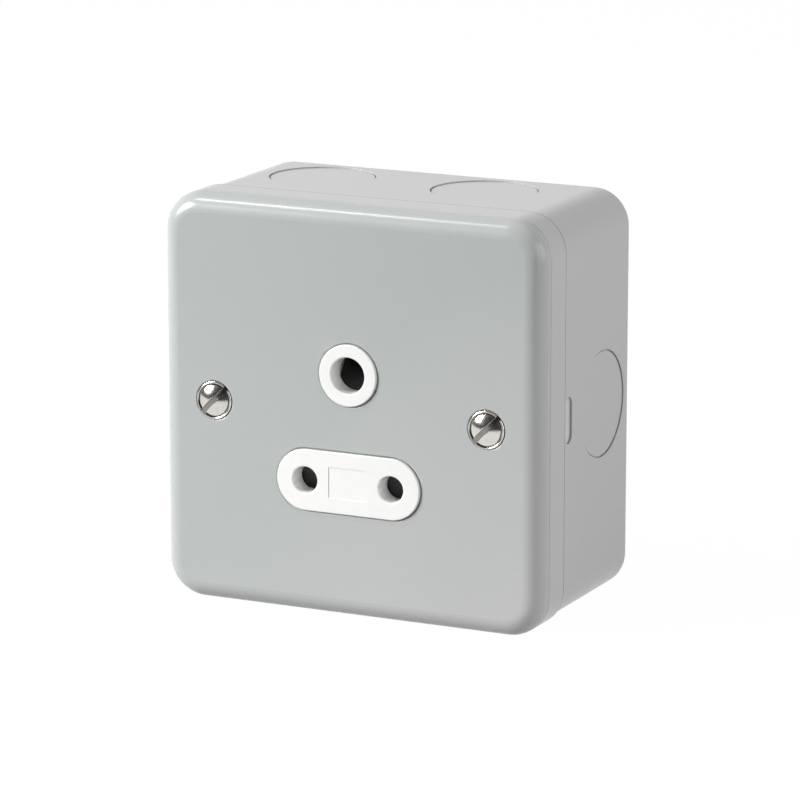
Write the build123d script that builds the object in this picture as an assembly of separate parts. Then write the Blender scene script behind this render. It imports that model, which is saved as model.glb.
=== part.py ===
from build123d import *
import os
from math import sqrt

os.makedirs("parts", exist_ok=True)

# Metal clad socket outlet for a plug with three round pins, 5 ampere pattern.
# X runs to the right seen from the front, Z runs up, and the wall is the plane Y = 0.
# A height is the distance from the wall towards the front, which faces -Y.

# Outline shared by the pressed cover and the rim of the box
face_size = 84.0
corner_radius = 8.0

# Pressed steel cover
cover_sheet = 1.2
cover_edge_radius = 3.8
cover_rim = 0.45
cover_rim_softening = 0.4
opening_roll = 0.4

# Drawn steel box
box_sheet = 1.2
shoulder_height = 41.25
rim_band = 7.6
rim_step = 0.5
rim_softening = 0.4
rim_groove_width = 0.35
rim_groove_depth = 0.6
collar_height = 1.4
collar_play = 0.15
back_edge_radius = 2.0

# Half-sheared knockouts for 20 mm conduit
knockout_diameter = 22.0
knockout_push = 0.2
knockout_groove_width = 0.3
knockout_groove_depth = 0.6
knockout_height = 14.5
top_knockout_pitch = 36.4
top_knockout_offset = -2.9
back_knockout_pitch = 37.0

# Slots in the back for the wall screws
wall_slot_width = 4.6
wall_slot_length = 9.5
wall_slot_centres = 50.8

# Folded lugs that take the two cover screws
fixing_centres = 60.3
lug_sheet = 1.5
lug_width = 12.0
lug_height = 36.0
lug_overhang = 5.2
lug_bend_radius = 1.0
lug_thread_depth = 2.6
lug_thread_wall = 1.2
lug_knockout_gap = 0.8
stake_width = 3.4
stake_length = 9.5
stake_height = 31.2
stake_sink = 0.3
stake_play = 0.05

# Cover screws, raised countersunk, slotted
screw_thread = 3.5
screw_length = 15.5
screw_head = 7.8
screw_land = 0.55
screw_edge = 0.3
screw_dome = 0.75
screw_slot_width = 1.1
screw_slot_depth = 1.2
screw_slot_angle = 45.0
screw_play = 0.1
dimple_lip = 0.25
dimple_depth = 2.3
dimple_hole = 4.4
dimple_bite = 0.3
dimple_roll = 0.25

# Plug pins and their pattern
line_pin_diameter = 5.08
line_pin_length = 14.9
line_pin_spacing = 19.05
earth_pin_diameter = 7.06
earth_pin_length = 20.6
earth_pin_distance = 22.23
earth_level = 8.0
pin_hole_play = 0.34
pin_mouth_radius = 0.3

# White moulded front of the socket
boss_diameter = 12.6
boss_gap = 0.15
boss_proud = 0.5
boss_edge_radius = 0.25
badge_recess_width = 8.6
badge_recess_height = 6.4
badge_recess_depth = 0.12
flange_thickness = 2.4
tray_wall = 1.8
flange_margin = 0.8
flange_corner = 3.0
guide_wall = 1.0
guide_end_gap = 0.25

# Shutter, slid down by the earth pin
shutter_thickness = 2.2
shutter_play = 0.2
shutter_overlap = 0.75
shutter_clear = 0.5
shutter_run_out = 1.0
ramp_depth = 5.6
ramp_lip = 0.8
ramp_lead = 0.25
spring_wire = 0.25
spring_diameter = 2.3
spring_turns = 8
spring_window_play = 0.4
spring_bar = 1.3
spring_bar_gap = 0.2
stem_bridge = 0.9

# Moulded base behind the shutter
base_plate = 3.0
base_wall = 1.3
base_play = 0.15
base_floor = 1.4
base_ledge = 1.2
base_rib = 1.4
base_rib_depth = 6.0

# Brass contacts, each a split tube on a terminal block
contact_pin_play = 0.12
contact_wall = 0.7
contact_block_step = 0.3
contact_overrun = 1.0
contact_bore_overrun = 0.5
contact_split = 0.7
contact_split_root = 1.6
contact_mouth_sink = 0.3
contact_seat_play = 0.15
block_length = 8.8
clip_thickness = 0.5
clip_length = 1.6
clip_sink = 1.2
clip_opening = 2.2
wire_hole = 3.4
wire_hole_setback = 3.4
wire_entry_play = 1.0

# Terminal screws
terminal_thread = 3.0
terminal_head = 4.6
terminal_head_height = 1.8
terminal_slot_width = 0.8
terminal_slot_depth = 0.9
terminal_back_off = 1.2
terminal_thread_play = 0.05
ledge_hole_play = 0.7

# Screws that hold the base to the moulded front
moulding_screw_x = 10.6
moulding_thread = 2.9
moulding_grip = 6.6
moulding_head = 5.2
moulding_head_height = 1.8
moulding_head_round = 0.6
moulding_pilot_overrun = 0.3
moulding_boss = 5.6
moulding_drive_width = 0.8
moulding_drive_length = 3.0
moulding_drive_depth = 1.0

# Welded studs and nuts that hold the moulding to the cover
stud_upper_level = 8.0
stud_lower_level = -20.3
stud_thread = 3.0
stud_foot = 4.4
stud_foot_height = 0.7
stud_length = 7.4
stud_edge = 3.6
nut_width = 5.5
nut_height = 2.4
thread_play = 0.05
stud_hole_play = 0.4

# Earth strap from the earth contact to a stud of the cover
strap_sheet = 0.6
strap_width = 6.4
strap_level = 21.6
strap_foot = 5.0
strap_eye_reach = 3.4
strap_tray_gap = 0.3
strap_nut_gap = 0.3
strap_bend_radius = 0.8
strap_slot_play = 0.4

# Earth terminal riveted to the back of the box
box_terminal_x = -24.0
box_terminal_z = -25.0
box_terminal_width = 9.0
box_terminal_depth = 7.6
box_terminal_height = 8.4
box_terminal_wire = 3.8
box_terminal_wire_height = 4.0
box_terminal_thread = 3.5
box_terminal_head = 6.0
box_terminal_head_height = 2.0
box_terminal_head_round = 0.5
box_terminal_back_off = 1.5
rivet_diameter = 4.0
rivet_head = 6.0
rivet_play = 0.05

# Heights that follow from the sizes above
cover_depth = cover_edge_radius + cover_rim
front_height = shoulder_height + cover_depth
cover_inside = front_height - cover_sheet
boss_face = front_height + boss_proud
flange_low = cover_inside - flange_thickness
shutter_front = flange_low - shutter_play
shutter_back = shutter_front - shutter_thickness
base_face = shutter_back - shutter_play
base_low = base_face - base_plate
rim_low = shoulder_height - rim_band
collar_top = shoulder_height + collar_height
dimple_mouth = screw_head + 2 * dimple_lip
dimple_floor = front_height - dimple_depth
dimple_slope = (dimple_mouth - dimple_hole) / 2 / dimple_depth

# Pin positions and the sizes that follow from the pins
line_level = earth_level - earth_pin_distance
line_x = line_pin_spacing / 2
line_hole = line_pin_diameter + pin_hole_play
earth_hole = earth_pin_diameter + pin_hole_play
line_bore = line_pin_diameter + contact_pin_play
earth_bore = earth_pin_diameter + contact_pin_play
line_tube = line_bore + 2 * contact_wall
earth_tube = earth_bore + 2 * contact_wall
line_block = line_tube + 2 * contact_block_step
earth_block = earth_tube + 2 * contact_block_step
line_tower = line_block + 2 * contact_seat_play + 2 * base_wall
earth_tower = earth_block + 2 * contact_seat_play + 2 * base_wall

# Shutter outline and travel
shutter_travel = earth_pin_diameter + shutter_clear
blade_half_height = line_hole / 2 + shutter_overlap
blade_half_width = line_x + line_hole / 2 + shutter_overlap
stem_half_width = earth_hole / 2 + shutter_overlap
ramp_start = earth_level - earth_pin_diameter / 2 - ramp_lead
ramp_end = ramp_start + shutter_travel
ramp_tip = shutter_front - ramp_depth
wedge_low = ramp_tip - ramp_lip
wedge_pocket_floor = wedge_low - shutter_play
blade_top = line_level + blade_half_height
blade_bottom = line_level - blade_half_height
spring_window_half = spring_diameter / 2 + spring_window_play
spring_window_low = blade_top + stem_bridge
spring_window_high = ramp_start - stem_bridge
spring_bar_low = spring_window_low + spring_bar_gap
spring_bar_high = spring_bar_low + spring_bar
spring_axis_height = (shutter_front + shutter_back) / 2

# Tray of the moulded front and plate of the base inside it
base_half_width = line_x + line_tower / 2
base_top = earth_level + earth_tower / 2
base_bottom = blade_bottom - shutter_travel - shutter_run_out
tray_half_width = base_half_width + base_play
tray_top = base_top + base_play
tray_bottom = base_bottom - base_play
strap_leg_x = tray_half_width + tray_wall + strap_tray_gap + strap_sheet / 2
stud_x = strap_leg_x + strap_sheet / 2 + strap_bend_radius + nut_width / 2 + strap_nut_gap
flange_half_width = stud_x + stud_edge
flange_top = tray_top + tray_wall + flange_margin
flange_bottom = tray_bottom - tray_wall - flange_margin

# Contact heights: each tube reaches past the tip of its pin
line_mouth = base_face - contact_mouth_sink
line_root = boss_face - line_pin_length - contact_overrun
line_end = line_root - block_length
earth_mouth = wedge_pocket_floor - contact_mouth_sink
earth_root = boss_face - earth_pin_length - contact_overrun
earth_end = earth_root - block_length


def at(height):
    """Plane parallel to the wall at a height; its sketch X is right and its sketch Y is up."""
    return Plane.XZ.offset(height)


def slab(sketch, low, high):
    """Sketch seen from the front, made solid between two heights."""
    return extrude(at(low) * sketch, amount=high - low)


def rod(diameter, low, high, x=0.0, z=0.0):
    """Round bar square to the wall, between two heights."""
    return Pos(x, -(low + high) / 2, z) * Rot(90, 0, 0) * Cylinder(diameter / 2, high - low)


def taper(low_diameter, high_diameter, low, high, x=0.0, z=0.0):
    """Cone square to the wall, between two heights."""
    cone = Cone(low_diameter / 2, high_diameter / 2, high - low)
    return Pos(x, -(low + high) / 2, z) * Rot(90, 0, 0) * cone


def bar_along_x(diameter, start, end, height, z=0.0):
    """Round bar along X, between two places on X."""
    return Pos((start + end) / 2, -height, z) * Rot(0, 90, 0) * Cylinder(diameter / 2, abs(end - start))


def bar_along_z(diameter, start, end, height, x=0.0):
    """Round bar along Z, between two levels."""
    return Pos(x, -height, (start + end) / 2) * Cylinder(diameter / 2, abs(end - start))


def rounded_square(side, radius):
    """Square outline with round corners, centred on the socket."""
    return RectangleRounded(side, side, radius)


def panel(left, right, bottom, top, radius=0.0):
    """Rectangle given by its four sides, with round corners where a radius is given."""
    if radius > 0:
        outline = RectangleRounded(right - left, top - bottom, radius)
    else:
        outline = Rectangle(right - left, top - bottom)
    return Pos((left + right) / 2, (bottom + top) / 2) * outline


def front_edges(solid):
    """Edges of the face that looks to the front."""
    return solid.faces().sort_by(Axis.Y)[0].edges()


def back_edges(solid):
    """Edges of the face that looks to the wall."""
    return solid.faces().sort_by(Axis.Y)[-1].edges()


def plan_view(level):
    """Plane that looks down on the socket at a level; its sketch X is right and its sketch Y is height."""
    return Plane(origin=(0, 0, level), x_dir=(1, 0, 0), z_dir=(0, 0, -1))


def upright_edge(solid, x, height):
    """The edge along Z at a place on X and a height."""
    edges = solid.edges().filter_by(Axis.Z)
    return min(edges, key=lambda edge: abs(edge.center().X - x) + abs(edge.center().Y + height))


def arc_inset(radius, rise):
    """How far a rounded edge has come inwards where it has risen past its tangent."""
    return radius - sqrt(radius * radius - rise * rise)


def save(solid, name):
    """Write one sub-part to its own STEP file."""
    solid.label = name
    export_step(solid, "parts/" + name + ".step")


# Cover: one pressing with rolled openings and two dimples for the screws
def make_cover():
    """Pressed steel cover plate."""
    outer = slab(rounded_square(face_size, corner_radius), shoulder_height, front_height)
    outer = fillet(front_edges(outer), cover_edge_radius)
    outer = fillet(back_edges(outer), cover_rim_softening)
    hollow = slab(
        rounded_square(face_size - 2 * cover_sheet, corner_radius - cover_sheet),
        shoulder_height - 1,
        cover_inside,
    )
    hollow = fillet(front_edges(hollow), cover_edge_radius - cover_sheet)
    cover = outer - hollow
    wall_in_slope = cover_sheet * sqrt(1 + dimple_slope**2)
    for x in (-fixing_centres / 2, fixing_centres / 2):
        root = dimple_hole + 2 * wall_in_slope
        mouth = root + 2 * dimple_slope * (cover_inside + dimple_bite - dimple_floor)
        cover += taper(root, mouth, dimple_floor, cover_inside + dimple_bite, x)
        cover -= taper(dimple_hole, dimple_mouth, dimple_floor, front_height, x)
    opening = boss_diameter + 2 * boss_gap
    cover -= slab(Pos(0, earth_level) * Circle(opening / 2), cover_inside - 1, front_height + 1)
    cover -= slab(
        Pos(0, line_level) * SlotCenterToCenter(line_pin_spacing, opening), cover_inside - 1, front_height + 1
    )
    rolled = [
        edge
        for edge in front_edges(cover)
        if abs(edge.center().X) < fixing_centres / 4
        and line_level - opening < edge.center().Z < earth_level + opening
    ]
    cover = fillet(rolled, opening_roll)
    mouths = [
        edge
        for edge in front_edges(cover).filter_by(GeomType.CIRCLE)
        if abs(edge.radius - dimple_mouth / 2) < 0.01
    ]
    return fillet(mouths, dimple_roll)


# Box: one drawing with a stepped rim, a collar inside the cover, knockouts and slots
def collar_size():
    """Outer size of the collar that stands inside the rounded edge of the cover."""
    inside_radius = cover_edge_radius - cover_sheet
    tangent = cover_inside - inside_radius
    inset = arc_inset(inside_radius, max(collar_top - tangent, 0.0))
    return face_size - 2 * cover_sheet - 2 * inset - 2 * collar_play


def make_box():
    """Drawn steel back box."""
    body = face_size - 2 * rim_step
    body_corner = corner_radius - rim_step
    collar = collar_size()
    collar_corner = corner_radius - (face_size - collar) / 2
    band = slab(rounded_square(face_size, corner_radius), rim_low, shoulder_height)
    band = fillet(front_edges(band) + back_edges(band), rim_softening)
    outer = slab(rounded_square(body, body_corner), 0, shoulder_height - box_sheet / 2)
    outer = fillet(back_edges(outer), back_edge_radius)
    groove = slab(rounded_square(face_size + 2, corner_radius + 1), rim_low - rim_groove_width, rim_low)
    groove -= slab(
        rounded_square(body - 2 * rim_groove_depth, body_corner - rim_groove_depth),
        rim_low - rim_groove_width,
        rim_low,
    )
    outer = outer - groove + band
    outer += slab(rounded_square(collar, collar_corner), shoulder_height - box_sheet, collar_top)
    hollow = slab(
        rounded_square(body - 2 * box_sheet, body_corner - box_sheet), box_sheet, shoulder_height - box_sheet
    )
    hollow = fillet(back_edges(hollow), back_edge_radius - box_sheet)
    hollow += slab(
        rounded_square(face_size - 2 * box_sheet, corner_radius - box_sheet),
        rim_low + rim_step,
        shoulder_height - box_sheet,
    )
    hollow += slab(rounded_square(collar - 2 * box_sheet, collar_corner - box_sheet), rim_low, collar_top + 1)
    box = outer - hollow
    side = body / 2
    island = knockout_diameter - 2 * knockout_groove_width
    top_places = (top_knockout_offset - top_knockout_pitch / 2, top_knockout_offset + top_knockout_pitch / 2)
    for sign in (-1, 1):
        sunk = sign * (side - knockout_push)
        root = sign * (side - knockout_groove_depth)
        proud = sign * (side - box_sheet - knockout_push)
        box -= bar_along_x(knockout_diameter, root, sign * (side + 1), knockout_height)
        box += bar_along_x(knockout_diameter, root, proud, knockout_height)
        box += bar_along_x(island, root, sunk, knockout_height)
        for x in top_places:
            box -= bar_along_z(knockout_diameter, root, sign * (side + 1), knockout_height, x)
            box += bar_along_z(knockout_diameter, root, proud, knockout_height, x)
            box += bar_along_z(island, root, sunk, knockout_height, x)
        z = sign * back_knockout_pitch / 2
        box -= rod(knockout_diameter, -1, knockout_groove_depth, 0, z)
        box += rod(knockout_diameter, knockout_groove_depth, knockout_push + box_sheet, 0, z)
        box += rod(island, knockout_push, knockout_groove_depth, 0, z)
        stake = SlotOverall(stake_length, stake_width, rotation=90)
        plane = Plane((sign * (side - box_sheet - 1), -stake_height, 0), x_dir=(0, 1, 0), z_dir=(sign, 0, 0))
        box -= extrude(plane * stake, amount=box_sheet + 2)
        slot = Pos(sign * wall_slot_centres / 2, 0) * SlotOverall(wall_slot_length, wall_slot_width)
        box -= slab(slot, -1, box_sheet + 1)
    box -= rod(rivet_diameter + 2 * rivet_play, -1, box_sheet + 1, box_terminal_x, box_terminal_z)
    box -= taper(
        rivet_head + 2 * rivet_play,
        rivet_diameter + 2 * rivet_play,
        0,
        (rivet_head - rivet_diameter) / 2,
        box_terminal_x,
        box_terminal_z,
    )
    return box


# Lugs: folded strips staked through the sides of the box
def make_lug(sign):
    """Folded steel lug with an extruded, tapped hole."""
    wall = face_size / 2 - rim_step - box_sheet
    foot = knockout_height + knockout_diameter / 2 + lug_knockout_gap
    reach = fixing_centres / 2 - lug_overhang
    profile = Polyline(
        (wall, foot),
        (wall, lug_height),
        (reach, lug_height),
        (reach, lug_height - lug_sheet),
        (wall - lug_sheet, lug_height - lug_sheet),
        (wall - lug_sheet, foot),
        close=True,
    )
    strip = plan_view(-lug_width / 2) * make_face(profile)
    lug = extrude(strip, amount=lug_width, dir=(0, 0, 1))
    lug = fillet(upright_edge(lug, wall - lug_sheet, lug_height - lug_sheet), lug_bend_radius)
    lug = fillet(upright_edge(lug, wall, lug_height), lug_bend_radius + lug_sheet)
    tapped = screw_thread + 2 * screw_play
    collar = tapped + 2 * lug_thread_wall
    lug += rod(collar, lug_height - lug_sheet - lug_thread_depth, lug_height - lug_sheet, fixing_centres / 2)
    lug -= rod(tapped, lug_height - lug_sheet - lug_thread_depth - 1, lug_height + 1, fixing_centres / 2)
    outside = face_size / 2 - rim_step
    plane = Plane((wall - lug_sheet / 2, -stake_height, 0), x_dir=(0, 1, 0), z_dir=(1, 0, 0))
    stake = SlotOverall(stake_length - 2 * stake_play, stake_width - 2 * stake_play, rotation=90)
    lug += extrude(plane * stake, amount=outside - stake_sink - wall + lug_sheet / 2)
    if sign < 0:
        lug = mirror(lug, about=Plane.YZ)
    return lug


# Cover screws
def make_cover_screw(x):
    """Raised countersunk screw with a plain land round its dome and a straight slot."""
    rim = front_height - screw_edge / 2
    cone_end = rim - (screw_head - screw_thread) / 2 / dimple_slope
    shank = rod(screw_thread, front_height - screw_length, rim, x)
    head = taper(screw_thread, screw_head, cone_end, rim, x)
    head += rod(screw_head, rim, rim + screw_edge, x)
    dome_radius_base = screw_head / 2 - screw_land
    ball = (dome_radius_base**2 + screw_dome**2) / (2 * screw_dome)
    dome = Pos(x, -(rim + screw_edge + screw_dome - ball), 0) * Sphere(ball)
    dome &= rod(2 * dome_radius_base, rim, rim + screw_edge + screw_dome + 1, x)
    screw = shank + head + dome
    top = rim + screw_edge + screw_dome
    blade = Rectangle(screw_head + 1, screw_slot_width)
    slot = slab(Pos(x, 0) * Rot(0, 0, screw_slot_angle) * blade, top - screw_slot_depth, top + 1)
    return screw - slot


# White moulded front
def make_socket_front():
    """Moulded front: two bosses in the cover openings, flange, tray and shutter guides."""
    front = slab(
        panel(-flange_half_width, flange_half_width, flange_bottom, flange_top, flange_corner),
        flange_low,
        cover_inside,
    )
    front += slab(
        panel(
            -tray_half_width - tray_wall,
            tray_half_width + tray_wall,
            tray_bottom - tray_wall,
            tray_top + tray_wall,
            tray_wall,
        ),
        base_low,
        flange_low,
    )
    front -= slab(panel(-tray_half_width, tray_half_width, tray_bottom, tray_top), base_low - 1, flange_low)
    earth_boss = slab(Pos(0, earth_level) * Circle(boss_diameter / 2), cover_inside, boss_face)
    line_boss = slab(
        Pos(0, line_level) * SlotCenterToCenter(line_pin_spacing, boss_diameter), cover_inside, boss_face
    )
    front += fillet(front_edges(earth_boss), boss_edge_radius)
    front += fillet(front_edges(line_boss), boss_edge_radius)
    front -= slab(
        Pos(0, line_level) * Rectangle(badge_recess_width, badge_recess_height),
        boss_face - badge_recess_depth,
        boss_face + 1,
    )
    holes = [(0, earth_level, earth_hole), (-line_x, line_level, line_hole), (line_x, line_level, line_hole)]
    for x, z, size in holes:
        front -= rod(size, flange_low - 1, boss_face + 1, x, z)
    mouths = [
        edge
        for edge in front.edges().filter_by(GeomType.CIRCLE)
        if abs(edge.center().Y + boss_face) < 0.01 and edge.radius < earth_hole / 2 + 0.1
        and edge.radius > line_hole / 2 - 0.1
    ]
    front = fillet(mouths, pin_mouth_radius)
    guide = stem_half_width + shutter_play
    for sign in (-1, 1):
        inner = sign * guide
        outer = sign * (guide + guide_wall)
        front += slab(
            panel(min(inner, outer), max(inner, outer), blade_top + guide_end_gap, tray_top), base_face, flange_low
        )
        front += rod(moulding_boss, base_face, flange_low, sign * moulding_screw_x, earth_level)
        pilot_end = base_low + moulding_grip + moulding_pilot_overrun
        front -= rod(moulding_thread, base_face - 1, pilot_end, sign * moulding_screw_x, earth_level)
        for z in (stud_lower_level, stud_upper_level):
            front -= rod(stud_foot + stud_hole_play, flange_low - 1, cover_inside + 1, sign * stud_x, z)
    return front


# Moulded base
def make_socket_base():
    """Moulded base: plate in the tray, wedge housing, three towers and ribs."""
    base = slab(panel(-base_half_width, base_half_width, base_bottom, base_top), base_low, base_face)
    pocket_half = stem_half_width + shutter_play
    pocket_bottom = ramp_start - shutter_travel - shutter_play
    pocket_top = ramp_end + shutter_play
    housing_low = wedge_pocket_floor - base_floor
    base += slab(
        panel(-earth_tower / 2, earth_tower / 2, pocket_bottom - base_wall, base_top), housing_low, base_low
    )
    base += slab(
        Pos(0, earth_level) * Rectangle(earth_tower, earth_tower), earth_end - base_ledge, base_low
    )
    for sign in (-1, 1):
        base += slab(
            Pos(sign * line_x, line_level) * Rectangle(line_tower, line_tower), line_end - base_ledge, base_low
        )
    base += slab(
        panel(-line_x, line_x, line_level - base_rib / 2, line_level + base_rib / 2),
        base_low - base_rib_depth,
        base_low,
    )
    base += slab(
        panel(-base_rib / 2, base_rib / 2, line_level, pocket_bottom), base_low - base_rib_depth, base_low
    )
    base -= slab(panel(-pocket_half, pocket_half, pocket_bottom, pocket_top), wedge_pocket_floor, base_face + 1)
    earth_seat = earth_block + 2 * contact_seat_play
    line_seat = line_block + 2 * contact_seat_play
    base -= slab(Pos(0, earth_level) * Rectangle(earth_seat, earth_seat), earth_end, wedge_pocket_floor)
    base -= rod(terminal_head + ledge_hole_play, earth_end - base_ledge - 1, earth_end, 0, earth_level)
    for sign in (-1, 1):
        base -= slab(Pos(sign * line_x, line_level) * Rectangle(line_seat, line_seat), line_end, base_face + 1)
        base -= rod(
            terminal_head + ledge_hole_play, line_end - base_ledge - 1, line_end, sign * line_x, line_level
        )
        base -= bar_along_z(
            wire_hole + wire_entry_play,
            line_level,
            line_level - line_tower,
            line_root - wire_hole_setback,
            sign * line_x,
        )
        base -= rod(
            moulding_thread + 2 * screw_play, base_low - 1, base_face + 1, sign * moulding_screw_x, earth_level
        )
    base -= bar_along_z(
        wire_hole + wire_entry_play, earth_level, earth_level + earth_tower, earth_root - wire_hole_setback
    )
    base -= slab(
        panel(
            earth_block / 2,
            earth_tower,
            earth_level - strap_width / 2 - strap_slot_play,
            earth_level + strap_width / 2 + strap_slot_play,
        ),
        earth_end - base_ledge - 1,
        strap_level + strap_sheet + strap_slot_play,
    )
    bar_sides = spring_window_half - shutter_play
    base += slab(
        panel(-bar_sides, bar_sides, spring_bar_low, spring_bar_high), base_face - 1, shutter_front
    )
    return base


# Shutter
def make_shutter():
    """Sliding shutter: blade over the line and neutral holes, stem and ramp behind the earth hole."""
    shutter = slab(
        panel(-blade_half_width, blade_half_width, blade_bottom, blade_top), shutter_back, shutter_front
    )
    shutter += slab(
        panel(-stem_half_width, stem_half_width, blade_top - 1, ramp_start), shutter_back, shutter_front
    )
    wedge = Polyline(
        (-shutter_front, ramp_start),
        (-ramp_tip, ramp_end),
        (-wedge_low, ramp_end),
        (-wedge_low, ramp_start),
        close=True,
    )
    side = Plane(origin=(-stem_half_width, 0, 0), x_dir=(0, 1, 0), z_dir=(1, 0, 0))
    shutter += extrude(side * make_face(wedge), amount=2 * stem_half_width, dir=(1, 0, 0))
    shutter -= slab(
        panel(-spring_window_half, spring_window_half, spring_window_low, spring_window_high),
        shutter_back - 1,
        shutter_front + 1,
    )
    return shutter


# Return spring
def make_spring():
    """Compression spring between the bar of the base and the top of the shutter's window."""
    coil_radius = (spring_diameter - spring_wire) / 2
    length = spring_window_high - spring_bar_high - spring_wire
    path = Helix(pitch=length / spring_turns, height=length, radius=coil_radius)
    start = path @ 0
    section = Plane(origin=start, z_dir=path % 0) * Circle(spring_wire / 2)
    wire = sweep(section, path=path)
    return Pos(0, -spring_axis_height, spring_bar_high + spring_wire / 2) * wire


# Contacts and their clips
def make_contact(x, z, bore, tube, block, mouth, root, end):
    """Brass contact: split tube with a clip groove, on a drilled and tapped block."""
    contact = rod(tube, root - 1, mouth, x, z)
    groove_top = mouth - clip_sink
    groove = rod(tube + 1, groove_top - clip_length, groove_top, x, z)
    groove -= rod(block - 2 * clip_thickness, groove_top - clip_length, groove_top, x, z)
    contact -= groove
    split_low = root + contact_split_root
    for width, height in ((tube + 1, contact_split), (contact_split, tube + 1)):
        contact -= slab(Pos(x, z) * Rectangle(width, height), split_low, mouth + 1)
    contact += slab(Pos(x, z) * Rectangle(block, block), end, root)
    contact -= rod(bore, root + contact_overrun - contact_bore_overrun, mouth + 1, x, z)
    level = root - wire_hole_setback
    contact -= bar_along_z(wire_hole, z - block, z + block, level, x)
    contact -= rod(terminal_thread + 2 * terminal_thread_play, end - 1, level, x, z)
    return contact


def make_clip(x, z, block, mouth, turn):
    """Spring steel ring, open at one side, that keeps a split tube closed on its pin."""
    high = mouth - clip_sink
    low = high - clip_length
    ring = rod(block, low, high, x, z) - rod(block - 2 * clip_thickness, low - 1, high + 1, x, z)
    opening = Rot(0, 0, turn) * (Pos(block / 2, 0) * Rectangle(block, clip_opening))
    return ring - slab(Pos(x, z) * opening, low - 1, high + 1)


def make_terminal_screw(x, z, root, end):
    """Cheese head screw, backed off from its wire hole."""
    tip = root - wire_hole_setback - wire_hole / 2 - terminal_back_off / 2
    under_head = end - terminal_back_off
    screw = rod(terminal_thread, under_head, tip, x, z)
    screw += rod(terminal_head, under_head - terminal_head_height, under_head, x, z)
    slot = Rectangle(terminal_head + 1, terminal_slot_width)
    back = under_head - terminal_head_height
    return screw - slab(Pos(x, z) * slot, back - 1, back + terminal_slot_depth)


# Fasteners of the moulding
def make_moulding_screw(x):
    """Self-tapping pan head screw from the back of the base."""
    screw = rod(moulding_thread, base_low, base_low + moulding_grip, x, earth_level)
    head = rod(moulding_head, base_low - moulding_head_height, base_low, x, earth_level)
    head = fillet(back_edges(head), moulding_head_round)
    screw += head
    back = base_low - moulding_head_height
    cross = Rectangle(moulding_drive_length, moulding_drive_width)
    cross += Rectangle(moulding_drive_width, moulding_drive_length)
    screw -= slab(Pos(x, earth_level) * cross, back - 1, back + moulding_drive_depth)
    return screw


def make_stud(x, z):
    """Stud welded to the inside of the cover."""
    stud = rod(stud_foot, cover_inside - stud_foot_height, cover_inside, x, z)
    return stud + rod(stud_thread, cover_inside - stud_length, cover_inside, x, z)


def make_nut(x, z, seat):
    """Hexagon nut on a stud."""
    outline = Pos(x, z) * RegularPolygon(nut_width / 2, 6, major_radius=False, rotation=30)
    nut = slab(outline, seat - nut_height, seat)
    return nut - rod(stud_thread + 2 * thread_play, seat - nut_height - 1, seat + 1, x, z)


# Earth strap
def make_strap():
    """Bent brass strap: eye under the upper right nut, leg beside the tray, foot on the earth block."""
    foot = earth_block / 2
    t = strap_sheet
    centre = [
        (stud_x + strap_eye_reach, flange_low - t / 2),
        (strap_leg_x, flange_low - t / 2),
        (strap_leg_x, strap_level),
        (foot + t / 2, strap_level),
        (foot + t / 2, strap_level - strap_foot),
    ]
    line = FilletPolyline(*centre, radius=strap_bend_radius + t / 2)
    ribbon = plan_view(earth_level - strap_width / 2) * trace(line, line_width=t)
    strap = extrude(ribbon, amount=strap_width, dir=(0, 0, 1))
    return strap - rod(
        stud_thread + 2 * stud_hole_play, flange_low - 2 * t, flange_low + 1, stud_x, stud_upper_level
    )


# Earth terminal of the box
def make_box_terminal():
    """Brass block riveted flush into the back of the box."""
    low = box_sheet
    high = box_sheet + box_terminal_height
    centre = Pos(box_terminal_x, box_terminal_z)
    block = slab(centre * Rectangle(box_terminal_width, box_terminal_depth), low, high)
    block += rod(rivet_diameter, 0, low + 1, box_terminal_x, box_terminal_z)
    flare = (rivet_head - rivet_diameter) / 2
    block += taper(rivet_head, rivet_diameter, 0, flare, box_terminal_x, box_terminal_z)
    wire_height = box_sheet + box_terminal_wire_height
    block -= bar_along_x(
        box_terminal_wire,
        box_terminal_x - box_terminal_width,
        box_terminal_x + box_terminal_width,
        wire_height,
        box_terminal_z,
    )
    thread = box_terminal_thread + 2 * terminal_thread_play
    return block - rod(thread, wire_height, high + 1, box_terminal_x, box_terminal_z)


def make_box_terminal_screw():
    """Slotted screw of the box terminal, backed off."""
    high = box_sheet + box_terminal_height
    under_head = high + box_terminal_back_off
    tip = box_sheet + box_terminal_wire_height + box_terminal_wire / 2
    x = box_terminal_x
    z = box_terminal_z
    screw = rod(box_terminal_thread, tip, under_head, x, z)
    top = under_head + box_terminal_head_height
    head = rod(box_terminal_head, under_head, top, x, z)
    screw += fillet(front_edges(head), box_terminal_head_round)
    slot = Rectangle(box_terminal_head + 1, terminal_slot_width)
    return screw - slab(Pos(x, z) * slot, top - terminal_slot_depth, top + 1)


save(make_cover(), "front_plate")
save(make_box(), "back_box")
save(make_lug(-1), "fixing_lug_left")
save(make_lug(1), "fixing_lug_right")
save(make_cover_screw(-fixing_centres / 2), "plate_screw_left")
save(make_cover_screw(fixing_centres / 2), "plate_screw_right")
save(make_socket_front(), "socket_front")
save(make_socket_base(), "socket_base")
save(make_shutter(), "shutter")
save(make_spring(), "shutter_spring")

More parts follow.
